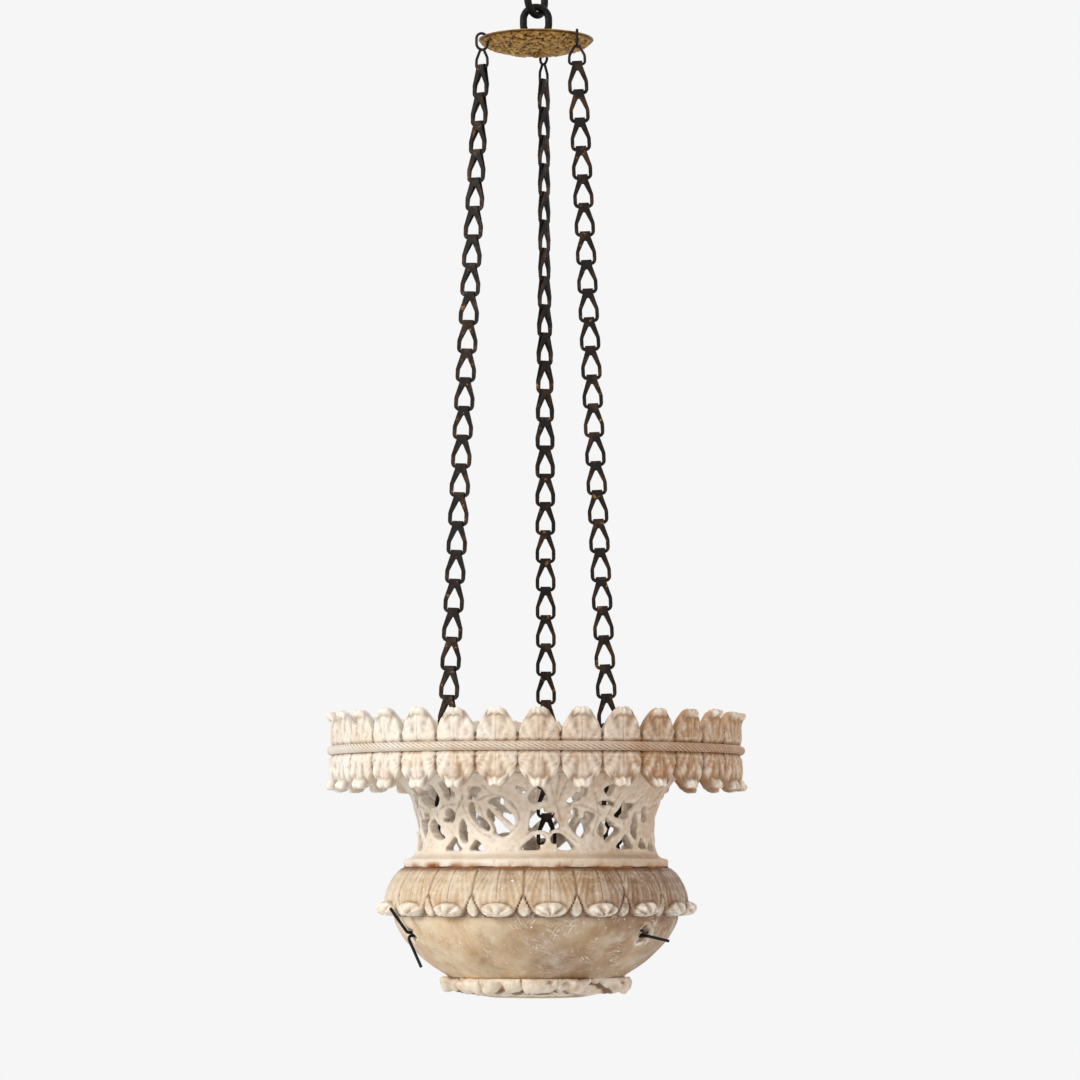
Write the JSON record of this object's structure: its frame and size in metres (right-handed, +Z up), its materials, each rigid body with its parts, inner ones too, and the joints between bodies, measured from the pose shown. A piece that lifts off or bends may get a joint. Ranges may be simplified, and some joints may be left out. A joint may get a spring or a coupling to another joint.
{
  "type": "alabaster bowl pendant",
  "caption": "Hanging carved alabaster bowl with a pierced collar and a crown of leaves, on folded strip chains from a small gilt canopy dish.",
  "frame": {"origin": "where a ceiling hook bears, at the inner top of the top link", "axes": "+Z up along the pendant's axis, +X to the viewer's right in the picture, the viewer looks along +Y"},
  "size_m": [0.418, 0.418, 1.0466],
  "materials": {
    "alabaster": "carved and waxed, warm cream to tan",
    "cement": "aged orange-brown cement",
    "forged_iron": "blackened, satin",
    "iron_wire": "dark brown wire, rubbed",
    "bronzed_iron": "browned, rubbed bright on the edges",
    "gilt_brass": "antique gilt, dark in the hollows",
    "candle_brass": "satin",
    "bolt_steel": "dull",
    "wax": "ivory wax, soft sheen",
    "wick": "braided cotton"
  },
  "bodies": {
    "suspension": {"top_link": "forged_iron"},
    "ring": {"canopy_ring": "forged_iron"},
    "canopy": {"canopy_shell": "gilt_brass", "canopy_eye_bolt": "forged_iron", "canopy_washer": "forged_iron", "canopy_finial": "gilt_brass"},
    "left_hook": {"left_hook": "iron_wire"},
    "left_chain": {"left_chain_links": "bronzed_iron"},
    "left_end": {"left_end_link": "bronzed_iron"},
    "right_hook": {"right_hook": "iron_wire"},
    "right_chain": {"right_chain_links": "bronzed_iron"},
    "rear_hook": {"rear_hook": "iron_wire"},
    "rear_chain": {"rear_chain_links": "bronzed_iron"},
    "bowl_unit": {"bowl": "alabaster", "seam_cement": "cement", "pierced_collar": "alabaster", "leaf_crown": "alabaster", "foot_rosette": "alabaster", "foot_bolt": "bolt_steel", "floor_washer": "bolt_steel", "floor_nut": "bolt_steel", "left_split_pin": "iron_wire", "rear_split_pin": "iron_wire", "right_split_pin": "iron_wire"},
    "dish": {"candle_dish": "candle_brass"},
    "candle_body": {"candle": "wax", "candle_wick": "wick"}
  },
  "joints": [
    {"name": "ring_swing", "type": "hinge", "parent": "suspension", "child": "ring", "pos_m": [0, 0, -0.04675], "axis": [0.5299, 0.848, 0], "range_deg": [-8, 8]},
    {"name": "canopy_tilt", "type": "hinge", "parent": "ring", "child": "canopy", "pos_m": [0, 0, -0.0694], "axis": [1, 0, 0], "range_deg": [-8, 8]},
    {"name": "left_hook_sway", "type": "hinge", "parent": "canopy", "child": "left_hook", "pos_m": [-0.05465, -0.02142, -0.0705], "axis": [0, 1, 0], "range_deg": [-2.5, 2.5]},
    {"name": "left_chain_sway", "type": "hinge", "parent": "left_hook", "child": "left_chain", "pos_m": [-0.05465, -0.02142, -0.1048], "axis": [1, 0, 0], "range_deg": [-2.5, 2.5]},
    {"name": "end_link_sway", "type": "hinge", "parent": "left_chain", "child": "left_end", "pos_m": [-0.09674, -0.03906, -0.94294], "axis": [0, 1, 0], "range_deg": [-1.5, 1.5]},
    {"name": "bowl_sway", "type": "hinge", "parent": "left_end", "child": "bowl_unit", "pos_m": [-0.09828, -0.03971, -0.9703], "axis": [1, 0, 0], "range_deg": [-1.5, 1.5]},
    {"name": "right_hook_sway", "type": "hinge", "parent": "canopy", "child": "right_hook", "pos_m": [0.04126, -0.03884, -0.0705], "axis": [0, 1, 0], "range_deg": [-2.5, 2.5]},
    {"name": "right_chain_sway", "type": "hinge", "parent": "right_hook", "child": "right_chain", "pos_m": [0.04126, -0.03884, -0.1048], "axis": [1, 0, 0], "range_deg": [-2.5, 2.5]},
    {"name": "rear_hook_sway", "type": "hinge", "parent": "canopy", "child": "rear_hook", "pos_m": [0.00777, 0.05644, -0.0705], "axis": [0, 1, 0], "range_deg": [-2.5, 2.5]},
    {"name": "rear_chain_sway", "type": "hinge", "parent": "rear_hook", "child": "rear_chain", "pos_m": [0.00777, 0.05644, -0.1048], "axis": [1, 0, 0], "range_deg": [-2.5, 2.5]},
    {"name": "dish_lift", "type": "slide", "parent": "bowl_unit", "child": "dish", "axis": [0, 0, 1], "range_m": [0, 0.08]},
    {"name": "candle_lift", "type": "slide", "parent": "dish", "child": "candle_body", "axis": [0, 0, 1], "range_m": [0, 0.08]}
  ],
  "couplings": [
    {"joint": "end_link_sway", "follows": "left_hook_sway", "ratio": -0.5554},
    {"joint": "right_hook_sway", "follows": "left_hook_sway", "ratio": 0.983},
    {"joint": "rear_hook_sway", "follows": "left_hook_sway", "ratio": 0.9831},
    {"joint": "bowl_sway", "follows": "left_chain_sway", "ratio": -0.5538},
    {"joint": "right_chain_sway", "follows": "left_chain_sway", "ratio": 1},
    {"joint": "rear_chain_sway", "follows": "left_chain_sway", "ratio": 1}
  ]
}
